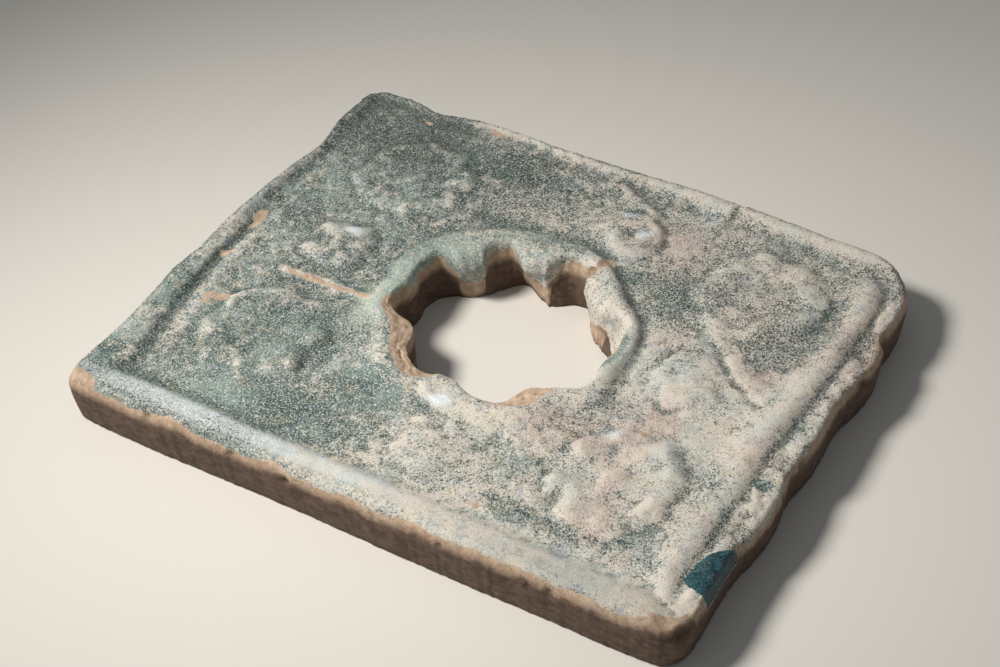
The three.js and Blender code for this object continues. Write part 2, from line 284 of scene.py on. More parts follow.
reaches = round_opening(BASE, np.arange(360))
print("the opening reaches", round(reaches.min(), 1), "to", round(reaches.max(), 1), "mm at the underside")

# %% [markdown]
# The front border is a broad bar, the left one widens towards the front and fades out behind its
# middle, the back one is a narrow bead, and the right one is a ridge with a low strip outside it.
# Bars joined on with Booleans would meet the field in hard lines. So each is a section: millimetres
# in from the edge, and height as a share of the relief.

# %% Borders
# Millimetres: the field's height above the underside, and the most that anything rises over it.
FIELD = 30.5
RELIEF = thickness - FIELD
SECTIONS = {
    "front": [(0, 0.1), (1.5, 0.35), (4, 0.8), (8, 1), (14, 1), (19, 0.82), (25, 0.22), (30, -0.06),
              (37, 0)],
    "right": [(0, -0.2), (4, 0.12), (10, 0.22), (14, 0.16), (16.5, 0.14), (20, 0.58), (24.5, 0.9),
              (30, 0.76), (37, 0.3), (45, 0)],
    "back": [(0, 0.5), (2.2, 0.75), (6, 0.98), (9, 0.95), (12.5, 0.6), (17, 0.1), (20, -0.05), (25, 0)],
    "left": [(0, 0.5), (2.2, 0.75), (6, 0.97), (12, 0.9), (15, 0.68), (18.5, 0.02), (20, -0.08),
             (24, 0.16), (28, 0.26), (33, 0.1), (40, 0)],
}
# Places along y, and how far in the left border's step and the right border's crease lie there. In
# the sections they lie 18 and 16.5 mm in.
LEFT_STEP = [(-135, 32), (-113, 27.5), (-80, 23), (-58, 20.5), (-30, 17.5), (0, 16.5), (150, 16)]
RIGHT_CREASE = [(-150, 19.5), (12, 18), (53, 16.5), (120, 17.5), (150, 23)]


def edge_depth(x, y):
    """Millimetres in from the clean outline, which turns round the corners."""
    corner = np.where((x > 0) & (y > 0), WORN_CORNER, CORNER)
    past_x, past_y = corner - half_x + np.abs(x), corner - half_y + np.abs(y)
    round_part = np.hypot(np.maximum(past_x, 0), np.maximum(past_y, 0))
    return corner - round_part - np.minimum(np.maximum(past_x, past_y), 0)


def border_share(x, y):
    """Height over the field as a share of the relief, from the borders alone."""
    depth = edge_depth(x, y)
    depth = depth - lost_at(x, y) * (1 - step(depth, FOOT_DRAW_IN, 18))
    depth = depth + 0.9 * noise(x, y, 30, 11) * step(depth, 4, 12)
    left = curve(SECTIONS["left"], depth * 18 / curve(LEFT_STEP, y))
    left = left * (1 - 0.85 * step(depth, 4, 14) * step(y, -25, 30)) * (1 - 0.45 * step(y, 20, 110))
    right = curve(SECTIONS["right"], depth * 16.5 / curve(RIGHT_CREASE, y))
    right = right + 0.3 * noise(x, y, 12, 12) * (1 - step(depth, 11, 17)) + 0.16 * noise(x, y, 17, 13)
    front = curve(SECTIONS["front"], depth * (1 + 0.12 * step(x, 40, 120)))
    back = curve(SECTIONS["back"], depth * (1 - 0.2 * step(x, 60, 120)))
    back = back * (1 - 0.8 * step(depth, 3, 12) * step(-x, 20, 100)) * (1 - 0.4 * step(-x, 60, 150))
    end = step((half_y - np.abs(y)) - (half_x - np.abs(x)), -12, 12)
    return np.where(y < 0, front, back) * (1 - end) + np.where(x < 0, left, right) * end


bar_middle = border_share(np.array([0.0]), np.array([11 - half_y]))
print("the front bar stands", round(RELIEF * bar_middle.item(), 1), "mm over the field")

# %% [markdown]
# A low collar of clay stands round the opening, and runs out into the field in a long slope. It
# could be a torus, but one height for each place keeps the face a single skin, and lets the slope
# follow the lobes faintly, as a thumb would.


# %% The raised ring
def ring_height(x, y):
    """The raised ring, from the opening to its foot."""
    ring_crest = round_opening(CREST, bearing(x, y))
    gentle = [(0, 0), (60, 0), (90, 8), (150, 10), (200, 7), (250, 10), (300, 13), (335, 12), (352, 3),
              (360, 0)]
    foot = 38 + 0.6 * ring_crest + curve(gentle, bearing(x, y)) + 1.5 * noise(x, y, 24, 20)
    share = (np.hypot(x, y - OPENING_Y) - ring_crest) / (foot - ring_crest)
    rows = [(-1, 1), (0, 1), (0.25, 0.96), (0.5, 0.72), (0.8, 0.24), (1.05, 0), (1.5, -0.5)]
    return FIELD + RELIEF * curve(rows, share)


crests = round_opening(CREST, np.arange(360))
print("the ring's crest is", round(crests.min(), 1), "to", round(crests.max(), 1), "mm from the middle")

# %% [markdown]
# The rosettes stand in sunken moats. Each has a rim of eight soft petals and a lower middle. All
# the raised forms are heights over the same field, and where two meet the higher one wins, with a
# small fillet, as wet clay pressed on wet clay has.

# %% Medallions and bosses
# Middle, first petal's direction in radians, half lengths, and strength of the relief.
MEDALLIONS = [
    (122.5, 92.5, 0.38, 41, 42, 0.95), (121.5, -83.5, 0.45, 40, 43, 1.0),
    (-122.5, -75.5, 0.30, 40, 45, 0.9), (-123, 92, 0.36, 41, 40, 0.75),
]
# Middle, half lengths, and strength of the relief.
BOSSES = [
    (24, 107.5, 23, 23, 3.4), (-128.5, 14.5, 23, 23, 3.2), (118, 9, 23, 27, 2.8), (17, -110, 23, 18, 1.4),
]


def wavered(x, y, size, amount, seed):
    """The same places moved about by noise, so that a form drawn there comes out hand-made."""
    return x + amount * noise(x, y, size, seed), y + amount * noise(x, y, size, seed + 1)


def medallion_height(x, y, centre_x, centre_y, turn, reach_x, reach_y, relief):
    """A rosette: a rim of eight petals round a lower middle, with a moat outside."""
    x, y = wavered(x, y, 15, 2.4, 21)
    dx, dy = (x - centre_x) / reach_x, (y - centre_y) / reach_y
    petal = 0.5 + 0.5 * np.cos(8 * (np.arctan2(dy, dx) - turn))
    share = np.hypot(dx, dy) / (0.94 + 0.07 * petal)
    rows = [(0, 0.66), (0.14, 0.57), (0.28, 0.42), (0.45, 0.48), (0.62, 0.84), (0.76, 1), (0.88, 0.76),
            (0.99, 0.14), (1.06, -0.3), (1.18, -0.08), (1.32, -0.3)]
    gap = step(share, 0.4, 0.8) * (1 - petal) * (1 - step(share, 1.0, 1.1))
    lumps = 1 + 0.34 * noise(x, y, 9, 23) + 0.3 * noise(x, y, 17, 24)
    return FIELD + 3.4 * relief * curve(rows, share) * (1 - 0.34 * gap) * lumps


def boss_height(x, y, centre_x, centre_y, reach_x, reach_y, relief):
    """A low rounded boss."""
    x, y = wavered(x, y, 13, 3.5, 25)
    share = np.hypot((x - centre_x) / reach_x, (y - centre_y) / reach_y)
    rows = [(0, 0.95), (0.35, 1), (0.6, 0.86), (0.82, 0.45), (1, 0.06), (1.14, -0.12), (1.3, -0.06),
            (1.5, -0.4)]
    return FIELD + 1.15 * relief * curve(rows, share) * (1 + 0.4 * noise(x, y, 10, 27))


print(len(MEDALLIONS), "medallions and", len(BOSSES), "bosses")

# %% [markdown]
# Thin ribbons of clay lie on the field, and creases run beside some of them. A bevelled curve could
# lie on top, but these have melted into the clay, so each is a height that fades with the distance
# from a line.


# %% Ribbons and creases
def line_distance(x, y, points):
    """Millimetres from a line through points."""
    best = np.full(x.shape, np.inf)
    for (ax, ay), (bx, by) in zip(points, points[1:]):
        dx, dy = bx - ax, by - ay
        t = np.clip(((x - ax) * dx + (y - ay) * dy) / (dx * dx + dy * dy), 0, 1)
        best = np.minimum(best, np.hypot(x - ax - t * dx, y - ay - t * dy))
    return best


# Points along each line, half width, and height or depth, all in millimetres.
LINES = [
    ([(-10, 148), (2, 145), (12, 139), (23, 133), (36, 126), (46, 117)], 5, 1.9),
    ([(34, 128), (44, 122), (50, 112), (49, 104)], 3, -1.1),
    ([(88, 55), (110, 46), (120, 39), (132, 27), (142, 18), (163, 7)], 3, -0.7),
    ([(95, 60), (112, 53), (126, 43), (140, 29), (160, 17)], 6, 1.0),
    ([(104, -6), (113, -19), (119, -20), (131, -9)], 3, -0.8),
    ([(-145, -22), (-122, -20), (-102, -21), (-84, -20)], 4, 1.9),
    ([(-113, 39), (-106, 28), (-100, 16)], 3, -1.0),
    ([(-12, -72), (0, -78), (12, -86), (22, -93)], 4, 1.4),
]


def line_heights(x, y):
    """All ribbons and creases together."""
    total = np.zeros(x.shape)
    bent = wavered(x, y, 12, 2.6, 28)
    uneven = 0.8 + 0.5 * noise(x, y, 14, 30)
    for points, half_width, rise in LINES:
        total += rise * uneven * (1 - step(line_distance(*bent, points), 0, 1.7 * half_width))
    return total


print(len(LINES), "ribbons and creases")

# %% [markdown]
# Wear works on top of the forms. The field sags and swells a little, crusts stand proud of the glaze
# by tenths of a millimetre, most of all at the back left, and dimples are sunk into it. This could
# be left to bump mapping, but the light falls low across the tile, so only real heights shade right.

# %% The whole upper surface
# Middle, half lengths, and height, all in millimetres. Dimples have a negative height.
LUMPS = [
    (98.5, -107, 6, 7, -3.0), (77, -88, 3, 3, -1.2), (82, -93, 2.5, 3, -1.2), (47, -86, 7, 9, -1.6),
    (40, -95, 5, 6, -1.2), (10, -130, 11, 5, -0.9), (-20, -106, 9, 6, -0.8), (-3, -112, 8, 5, -0.8),
    (-93, 118, 9, 4, -0.9), (74, 157, 2.5, 6, -1.6), (118, -43.5, 3.5, 3.5, 1.3), (3, -92.5, 6, 5, 1.6),
    (17.5, 124.5, 9, 4, 1.5), (34, 110, 6, 6, 0.9), (-125, 27, 8, 6, 1.0), (108, -45, 8, 7, 1.0),
    (133, -47, 8, 7, 0.9), (92, -62, 7, 8, 0.9), (148, -63, 7, 8, 0.9), (148, -90, 7, 8, 0.8),
    (85, -114, 7, 7, 0.9), (122, -123, 9, 6, 0.7), (108, 125, 8, 7, 0.9), (132, 121, 8, 7, 0.8),
    (147, 103, 7, 8, 0.9), (143, 75, 8, 7, 0.9), (-112, -40, 8, 6, 1.0), (-95, -62, 6, 8, 1.0),
    (-135, -121, 9, 6, 1.0), (-110, -120, 9, 6, 1.0), (-150, 115, 8, 8, 0.9), (-130, 127, 8, 7, 0.9),
    (-110, 126, 8, 7, 0.9), (-93, 108, 7, 8, 0.9), (-64, 8, 6, 9, 0.8), (-58, -38, 7, 7, 0.9),
    (8, -74, 9, 5, 0.9),
]


def crust(x, y):
    """Where the pale crust stands thickest, from 0 to 1."""
    back_left = step(-x + 0.9 * y, 20, 150)
    return np.clip(0.3 + 0.6 * back_left + 0.25 * noise(x, y, 38, 31), 0, 1)


def top_height(x, y):
    """Height of the upper surface in millimetres."""
    z = FIELD + RELIEF * border_share(x, y)
    z = smooth_max(z, ring_height(x, y), 1.2)
    for medallion in MEDALLIONS:
        z = smooth_max(z, medallion_height(x, y, *medallion), 0.7)
    for boss in BOSSES:
        z = smooth_max(z, boss_height(x, y, *boss), 0.7)
    z = z + line_heights(x, y)
    for centre_x, centre_y, reach_x, reach_y, rise in LUMPS:
        z += rise * np.exp(-(((x - centre_x) / reach_x) ** 2) - ((y - centre_y) / reach_y) ** 2)
    z += 0.5 * noise(x, y, 55, 41) + 0.38 * noise(x, y, 21, 42) + 0.24 * noise(x, y, 9.5, 43)
    z += (0.08 + 0.22 * crust(x, y)) * rough(x, y, 4.6, 44, 2)
    z += 0.55 * rough(x, y, 5, 46, 2) * step(x, half_x - 18, half_x - 12)
    return z - 0.5


grid = np.meshgrid(np.arange(-half_x + 10, half_x - 10, 5), np.arange(-half_y + 10, half_y - 10, 5))
heights = top_height(*grid)
print("upper surface from", round(heights.min(), 1), "to", round(heights.max(), 1), "mm")

# %% [markdown]
# The mesh has four parts that share their border rings: the side wall, the wall of the opening, the
# glazed face and the underside. A solid could be remeshed instead, but rows of rings follow the
# edges exactly. So the walls are rings, one above another.

# %% Side wall
# Millimetres: the rounding of the foot, the height at which the wall bulges most, and the rounding
# of the upper edge, which the front bar has more of.
FOOT_ROUNDING = 1.8
BULGE = 22
ARRIS = {"front": 7.5, "other": 4.5}
WALL_ROWS, ROLL_ROWS = 8, 9
ROLL_BEND = 0.85

wall_foot = FOOT_DRAW_IN - FOOT_ROUNDING
underside_rows = [(FOOT_DRAW_IN, 0.0), (FOOT_DRAW_IN - 1.1, 0.45), (wall_foot, FOOT_ROUNDING)]
arris = np.where((clean[:, 1] < 0) & (half_x - np.abs(clean[:, 0]) > half_y - np.abs(clean[:, 1])),
                 ARRIS["front"], ARRIS["other"]).astype(float)
for _ in range(24):
    arris = (np.roll(arris, 1) + arris + np.roll(arris, -1)) / 3
along = np.arange(OUTLINE_STEPS) * (4 * (half_x + half_y) / OUTLINE_STEPS)
nibbled = 0.55 * np.abs(noise(along, 0 * along, 5, 51)) + 0.35 * np.abs(noise(along, 0 * along, 2.4, 52))


def side_ring(inset, z):
    """A ring at an inset from the outline, with the edge's wear fading inwards."""
    inset = np.broadcast_to(inset, lost.shape)
    fade = 1 - step(inset, FOOT_DRAW_IN, 18)
    flat = clean + inward * ((lost + nibbled) * fade)[:, None]
    flat = flat * (1 - inset[:, None] / np.array([half_x, half_y]))
    return np.column_stack([flat, np.broadcast_to(z, lost.shape)])


side_rows = [side_ring(inset, z) for inset, z in underside_rows]
for t in np.linspace(0, 1, WALL_ROWS + 1)[1:]:
    z = FOOT_ROUNDING + (BULGE - FOOT_ROUNDING) * t
    side_rows.append(side_ring(wall_foot * (1 - t) ** 1.4, z))
top_edge = side_ring(arris, 0)
top_edge[:, 2] = top_height(*top_edge[:, :2].T)
roll_start = len(side_rows)
for angle in np.radians(np.linspace(0, 90, ROLL_ROWS + 1)[1:]):
    rise = math.sin(angle) ** ROLL_BEND
    ring = side_ring(arris * (1 - math.cos(angle) ** ROLL_BEND), BULGE)
    ring[:, 2] = BULGE + (top_edge[:, 2] - BULGE) * rise
    side_rows.append(ring)
side_rows[-1] = top_edge
print(len(side_rows), "rings on the side wall")

# %% [markdown]
# The opening was cut upright while the clay was firm, and its rim smoothed over with a wet finger,
# so the glaze rolls down into it at the back and on the right. At the front left, and again at the
# front, the rim has broken away to a rough slope of bare clay. Each row of the wall is a ring, so the
# roll and the break are only two ways of stacking the upper rows.

# %% Wall of the opening
OPENING_STEPS = 440
OPENING_WALL_ROWS, OPENING_ROLL_ROWS = 15, 16
turn = np.linspace(0, 360, OPENING_STEPS, endpoint=False)
direction = np.stack([np.cos(np.radians(turn)), np.sin(np.radians(turn))], 1)
base_at, edge_at, edge_height, crest_at = (round_opening(k, turn) for k in (BASE, EDGE, EDGE_HEIGHT, CREST))
broken_at = np.clip(round_opening(BROKEN, turn), 0, 1)
edge_height = edge_height + 0.9 * noise(turn, 0 * turn, 7, 62)
# The undersides of the tongues have lost their tips.
torn_at = step(-base_at, -63, -57)


def opening_ring(reach, z):
    """A ring on the opening's wall, at its reach and height."""
    return np.column_stack([direction * reach[:, None] + (0, OPENING_Y), np.broadcast_to(z, turn.shape)])


opening_rows = []
for share in np.linspace(0, 1, OPENING_WALL_ROWS):
    z = edge_height * share
    drag = 0.42 * noise(turn, z / 22, 3.2, 63) + 0.25 * noise(turn, z / 9, 1.6, 64)
    crumbs = 1.2 * np.abs(noise(turn * 1.1, z, 4, 65)) + 0.5 * noise(turn, z, 2, 67)
    torn = torn_at * (1 - step(z, 4, 15)) * crumbs
    opening_rows.append(opening_ring(base_at + (edge_at - base_at) * share**1.5 + drag + torn, z))
last_wall = np.hypot(opening_rows[-1][:, 0], opening_rows[-1][:, 1] - OPENING_Y)

rim = opening_ring(crest_at, thickness)
rim[:, 2] = top_height(*rim[:, :2].T) - 0.4 * broken_at
for degrees in np.linspace(0, 90, OPENING_ROLL_ROWS + 1)[1:]:
    out, rise = 1 - math.cos(math.radians(degrees)), math.sin(math.radians(degrees))
    out = out * (1 - broken_at) + degrees / 90 * broken_at
    rise = rise * (1 - broken_at) + degrees / 90 * broken_at
    ring = opening_ring(last_wall + (crest_at - last_wall) * out, 0)
    ring[:, 2] = edge_height + (rim[:, 2] - edge_height) * rise
    uneven = 0.5 * noise(ring[:, 0], ring[:, 1], 9, 68) + 0.3 * noise(ring[:, 0], ring[:, 1], 4, 69)
    uneven = uneven + 0.9 * broken_at * noise(turn * 1.2, 0 * turn + degrees / 7, 2.6, 66)
    ring[:, 2] += uneven * math.sin(math.radians(2 * degrees))
    opening_rows.append(ring)
opening_rows[-1] = rim
print(len(opening_rows), "rings on the opening's wall")

# %% [markdown]
# The glazed face carries all the relief, and the underside is plain clay that nobody was meant to
# see. A grid with a hole cut in it would leave slivers along the rims. So both are near-equal
# triangles between their own rings, fine on the face and coarse underneath.


# %% Glazed face and underside
def reach_at(ring, angle):
    """How far a ring reaches from the opening's middle, in each direction."""
    ring_angle = np.arctan2(ring[:, 1] - OPENING_Y, ring[:, 0])
    order = np.argsort(ring_angle)
    reach = np.hypot(ring[:, 0], ring[:, 1] - OPENING_Y)
    return np.interp(angle, ring_angle[order], reach[order], period=2 * math.pi)


def sheet(outer, inner, spacing, clear):
    """Points and triangles of a flat sheet between an outer and an inner ring."""
    rows = np.arange(-half_y, half_y, spacing * math.sqrt(3) / 2)
    x, y = np.meshgrid(np.arange(-half_x, half_x, spacing), rows)
    x[1::2] += spacing / 2
    x, y = x.ravel(), y.ravel()
    angle = np.arctan2(y - OPENING_Y, x)
    radius = np.hypot(x, y - OPENING_Y)
    keep = (radius < reach_at(outer, angle) - clear) & (radius > reach_at(inner, angle) + clear)
    middle = np.stack([x[keep], y[keep]], 1)
    flat = np.vstack([outer[:, :2], inner[:, :2], middle])
    rings = [(0, len(outer)), (len(outer), len(inner))]
    edges = [(start + i, start + (i + 1) % count) for start, count in rings for i in range(count)]
    made = geometry.delaunay_2d_cdt([Vector(p) for p in flat.tolist()], edges, [], 2, 1e-7)
    faces = np.array(made[2])
    if len(made[0]) != len(flat):
        raise ValueError("the sheet's rings cross themselves")
    in_hole = ((faces >= len(outer)) & (faces < len(outer) + len(inner))).all(1)
    centre = flat[faces].mean(1)
    centre_angle = np.arctan2(centre[:, 1] - OPENING_Y, centre[:, 0])
    in_hole &= np.hypot(centre[:, 0], centre[:, 1] - OPENING_Y) < reach_at(inner, centre_angle)
    return middle, faces[~in_hole]


FACE_SPACING, FOOT_SPACING = 1.5, 9
face_middle, face_triangles = sheet(side_rows[-1], opening_rows[-1], FACE_SPACING, 1)
foot_middle, foot_triangles = sheet(side_rows[0], opening_rows[0], FOOT_SPACING, 4)
print(len(face_triangles), "triangles on the face,", len(foot_triangles), "on the underside")

# %% [markdown]
# The four parts become one closed mesh, because the tile is one body of clay. They could be joined
# and merged by distance, but numbering the rings that they share only once leaves no seam to merge.


# %% Join the parts
def wall_quads(start, rings, count, turned):
    """Quads between stacked rings. turned faces them inwards."""
    lower = start + np.arange((rings - 1) * count).reshape(-1, count)
    beside = np.roll(lower, -1, 1)
    quads = np.stack([lower, beside, beside + count, lower + count], 2).reshape(-1, 4)
    return quads[:, ::-1] if turned else quads


side_start = 0
opening_start = len(side_rows) * OUTLINE_STEPS
face_start = opening_start + len(opening_rows) * OPENING_STEPS
foot_start = face_start + len(face_middle)
face_points = np.column_stack([face_middle, top_height(*face_middle.T)])
foot_points = np.column_stack([foot_middle, 0 * foot_middle[:, 0]])
points = np.concatenate([*side_rows, *opening_rows, face_points, foot_points])


def renumber(triangles, *starts):
    """A sheet's own numbers to the whole mesh's, where its two rings and its middle start."""
    own_starts = np.array([0, OUTLINE_STEPS, OUTLINE_STEPS + OPENING_STEPS])
    part = np.searchsorted(own_starts, triangles, "right") - 1
    return triangles + (starts - own_starts)[part]


face_ring = (len(side_rows) - 1) * OUTLINE_STEPS
face_hole = opening_start + (len(opening_rows) - 1) * OPENING_STEPS
upper = renumber(face_triangles, face_ring, face_hole, face_start)
lower = renumber(foot_triangles, side_start, opening_start, foot_start)[:, ::-1]
side = wall_quads(side_start, len(side_rows), OUTLINE_STEPS, False)
opening = wall_quads(opening_start, len(opening_rows), OPENING_STEPS, True)
faces = [*upper.tolist(), *lower.tolist(), *side.tolist(), *opening.tolist()]
print(len(points), "vertices,", len(upper) + len(lower) + 2 * (len(side) + len(opening)), "triangles")

# %% [markdown]
# Chips break the edges where the tile has been knocked. A chip is a scoop: every vertex inside a
# small ellipsoid is pushed back to its far side, in the direction of the blow. What a chip lays bare
# is kept, because fresh breaks show clay and not glaze.

# %% Chips
# Millimetres inside the edge of bare clay, so a negative number is how far outside a vertex lies.
FAR_OUTSIDE = -20.0
bare = np.full(len(points), FAR_OUTSIDE)


def scoop(centre, reach, push):
    """Pushes vertices out of an ellipsoid along push, and marks them as bare clay."""
    reach = np.array(reach, float)
    near = np.flatnonzero((np.abs(points - centre) < reach).all(1))
    q = (points[near] - centre) / reach
    inside = (q**2).sum(1) < 1
    near, q = near[inside], q[inside]
    way = np.array(push, float) / reach
    a, b, c = (way**2).sum(), (q * way).sum(1), (q**2).sum(1) - 1
    points[near] += ((np.sqrt(b * b - a * c) - b) / a)[:, None] * np.array(push, float)
    bare[near] = np.maximum(bare[near], 3 * np.sqrt(-c))


# Middle, half lengths, and the direction of the blow.
CHIPS = [
    ((202.5, 97, 28), (5, 7, 9), (-1, 0, -0.2)), ((203.5, -28.5, 26), (4, 8, 8), (-1, 0, -0.2)),
    ((197, -161, 36), (13, 9, 6), (-0.3, 0.4, -1)), ((203, -160, 26), (7, 9, 7), (-1, 0.6, -0.4)),
    ((27, 75, 36.5), (4, 7, 4), (0, 0, -1)), ((22, 64.5, 30), (5, 4, 7), (0, 1, -0.5)),
    ((-188, 13, 36.5), (5, 10, 3.2), (0, 0, -1)), ((-166, -63, 33.5), (8, 5, 2.6), (0, 0, -1)),
]
for centre, reach, push in CHIPS:
    scoop(centre, reach, push)
SMALL_CHIPS = 46
dice = np.random.default_rng(71)
for _ in range(SMALL_CHIPS):
    at = dice.integers(OUTLINE_STEPS)
    size = dice.uniform(1.6, 4.2)
    out = -inward[at]
    x, y = side_rows[roll_start][at, :2] + out * size * dice.uniform(0.35, 0.7)
    scoop((x, y, dice.uniform(24, 33)), (size * 1.2, size * 1.2, size), (-out[0], -out[1], -0.3))
print("bare from chips:", int((bare > 0).sum()), "vertices")

# %% [markdown]
# The plain solid says how big the tile is, so nothing may stand outside its box. The mesh is shaded
# smooth, moves with the solid's own body, and is seen in its place.

# %% The mesh
points = np.clip(points, [-half_x, -half_y, 0], [half_x, half_y, thickness])
tile_mesh = bpy.data.meshes.new("weathered_tile")
tile_mesh.from_pydata((points * MM).tolist(), [], faces)
tile_mesh.validate()
tile_mesh.shade_smooth()
tile = bpy.data.objects.new("weathered_tile", tile_mesh)
bpy.context.scene.collection.objects.link(tile)
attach(tile, "root")
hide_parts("tile")
print("mesh of", len(tile_mesh.polygons), "faces")

# %% [markdown]
# Colour follows history. The glaze was one turquoise. It is still rich in hollows, pale crust covers
# what stood proud, and bare clay shows on walls, breaks and rubbed edges. Some maps also paint light
# and shade: shade in hollows and low on the walls, each partly real dirt, shade at the back left
# corner, and glints on raised places. So each of these is a map: a number at each vertex, made from
# named places and from the height of the surface round it. Brush work in texture paint would do the
# same, but these maps follow any change to the shape.

# %% Maps for the finishes
x, y, z = points.T
radius = np.hypot(x, y - OPENING_Y)
rim_gap = radius - round_opening(CREST, bearing(x, y))
number = np.arange(len(points))
on_side = number < opening_start
in_opening = (number >= opening_start) & (number < face_start)
on_foot = z < 0.3


def blob(places, soft=0.45):
    """Soft ellipses: middle, half lengths and strength of each. The strongest wins."""
    total = np.zeros(len(points))
    for centre_x, centre_y, reach_x, reach_y, strength in places:
        share = np.hypot((x - centre_x) / reach_x, (y - centre_y) / reach_y)
        total = np.maximum(total, strength * (1 - step(share, 1 - soft, 1 + soft)))
    return total


def patch(centre_x, centre_y, reach_x, reach_y, degrees=0):
    """Millimetres inside a turned ellipse with a wavering edge, negative outside."""
    c, s = math.cos(math.radians(degrees)), math.sin(math.radians(degrees))
    bent_x, bent_y = wavered(x, y, 7, 2.2, 83)
    u = ((bent_x - centre_x) * c + (bent_y - centre_y) * s) / reach_x
    v = ((bent_y - centre_y) * c - (bent_x - centre_x) * s) / reach_y
    return (1 - np.hypot(u, v)) * min(reach_x, reach_y)


# Hollows are where the surface lies under the mean of what is round it.
def blurred_height(at_x, at_y, reach):
    """The mean height of eight places at a distance."""
    shifts = [(reach * math.cos(a), reach * math.sin(a)) for a in np.radians(np.arange(0, 360, 45))]
    return np.mean([top_height(at_x + dx, at_y + dy) for dx, dy in shifts], axis=0)


on_face = number >= face_start
hollow = np.zeros(len(points))
face_xy = x[on_face], y[on_face]
face_z = top_height(*face_xy)
hollow[on_face] = 0.9 * (blurred_height(*face_xy, 6) - face_z)
hollow[on_face] += 0.5 * (blurred_height(*face_xy, 2.5) - face_z)
hollow[on_foot] = 0
hollow *= step(np.abs(rim_gap), 1, 5)
tips = in_opening * step(-round_opening(EDGE, bearing(x, y)), -64, -60) * (1 - step(z, 9, 17))
print("hollows from", round(hollow.min(), 2), "to", round(hollow.max(), 2), "mm")

# %% [markdown]
# The glaze stopped short of the foot, and it has gone wherever the tile was knocked or rubbed. Each
# bare place is a turned ellipse with a wavering edge, stored as millimetres inside that edge, so
# that the material can fray it more finely than the mesh could.

# %% Bare clay
front_line = 31.3 + 1.1 * step(x, -40, 80)
side_line = np.where(y < -half_y + 20, front_line, np.where(x > half_x - 12, 28.5, 27.0))
side_line = side_line + 1.9 * rough(x + y, 0 * x, 24, 81, 4)
low_on_side = np.where(on_side, side_line - z, FAR_OUTSIDE)
rim_line = round_opening(GLAZE_END, bearing(x, y))
low_in_opening = np.where(in_opening, rim_line + 1.6 * rough(x, y, 6, 82) - z, FAR_OUTSIDE)
bare = np.maximum.reduce([
    bare, low_on_side, low_in_opening,
    patch(-188, 13, 3.8, 10, 8), patch(-186, -26, 2.5, 4), patch(-165.5, -62, 8, 3.6, 35),
    patch(-169, -68, 2.2, 4.5), patch(-121, -20.5, 11, 2.6, 2), patch(-101, -19.5, 9, 2.3),
    patch(-88, -19, 6, 1.2), patch(-138, -20.5, 8, 1.4), patch(118, -43.5, 3, 3), patch(70, 7, 2.6, 8),
    patch(27, 73, 4, 8), patch(-100, 157, 6, 1.7), patch(-150, 149, 4, 1.6),
    patch(-190, -162, 12, 7, -10), patch(-203, -156, 4, 12), patch(194, -160, 10, 5),
    patch(45, -44, 5, 9, 30), patch(62, -136, 3, 2),
])
bare[on_foot] = -FAR_OUTSIDE
wall_edge = round_opening(EDGE_HEIGHT, bearing(x, y))
# Deep grows down the walls, and the clay darkens with it: partly soil, partly painted shade.
deep = np.where(on_side, low_on_side / 14, np.where(in_opening, (wall_edge - 2 - z) / 14 - tips, 0))
print("bare clay on", round(100 * float((bare > 0).mean())), "% of the vertices")

# %% [markdown]
# The left half kept more of its glaze than the right. The front bar has a silvery bloom, partly the
# decayed glaze's own and partly a painted highlight, and small pale spots on raised places are
# painted glints. The corner nearest the camera has one pool of sound glaze. Each map starts from a
# broad trend, and soft ellipses add to it or take from it at measured places.

# %% Glaze and flecks
left_share = step(-x, -90, 130)
glaze = 0.12 + 0.5 * left_share + 0.12 * noise(x, y, 34, 91) + 0.28 * np.clip(hollow, -1, 1)
# The ellipse at (-160, 135) darkens the back left corner with more glaze: painted shade where the light
# falls off.
glaze += blob([
    (-70, -122, 46, 16, 0.55), (-40, -88, 26, 20, 0.45), (-192, -138, 7, 16, 0.6),
    (-190, -72, 7, 20, 0.35), (44, 75, 12, 9, 0.4), (78, 68, 16, 16, 0.35), (-72, 20, 12, 42, 0.3),
    (-20, 82, 50, 9, 0.35), (62, -95, 18, 12, 0.3), (92, -128, 30, 9, 0.45), (150, -116, 16, 12, 0.3),
    (165, 80, 12, 24, 0.3), (125, 142, 34, 8, 0.3), (-70, 132, 52, 12, 0.35), (150, 48, 16, 12, 0.25),
    (100, -60, 14, 14, 0.2), (192, -46, 6, 4, 1.1), (184, -77, 3, 3, 0.6), (-95, -70, 26, 36, 0.2),
    (68, 8, 7, 15, 1.0), (-160, 135, 60, 40, 0.12), (-130, -150, 90, 10, 0.1),
])
glaze -= blob([
    (-100, 158, 20, 6, 0.5), (60, 110, 26, 22, 0.1), (150, -40, 40, 20, 0.15), (-30, 100, 34, 22, 0.25),
])
fleck = 0.5 + 0.25 * noise(x, y, 28, 92) + 0.3 * np.clip(hollow, -1, 1)
# The ellipse at (-160, 135) adds flecks to darken the back left corner: painted shade.
fleck += blob([
    (80, 66, 26, 24, 0.3), (-60, 105, 80, 40, 0.2), (120, 130, 40, 12, 0.25), (150, 60, 24, 20, 0.2),
    (-160, 135, 60, 40, 0.3),
])
fleck -= blob([
    (90, -150, 130, 13, 0.7), (-60, 0, 20, 40, 0.2), (20, -68, 50, 14, 0.3), (75, 12, 12, 30, 0.3),
])
fleck[rim_gap < 0] -= 0.15
print("glaze shows by", round(glaze.mean(), 2), "and flecks by", round(fleck.mean(), 2), "on average")
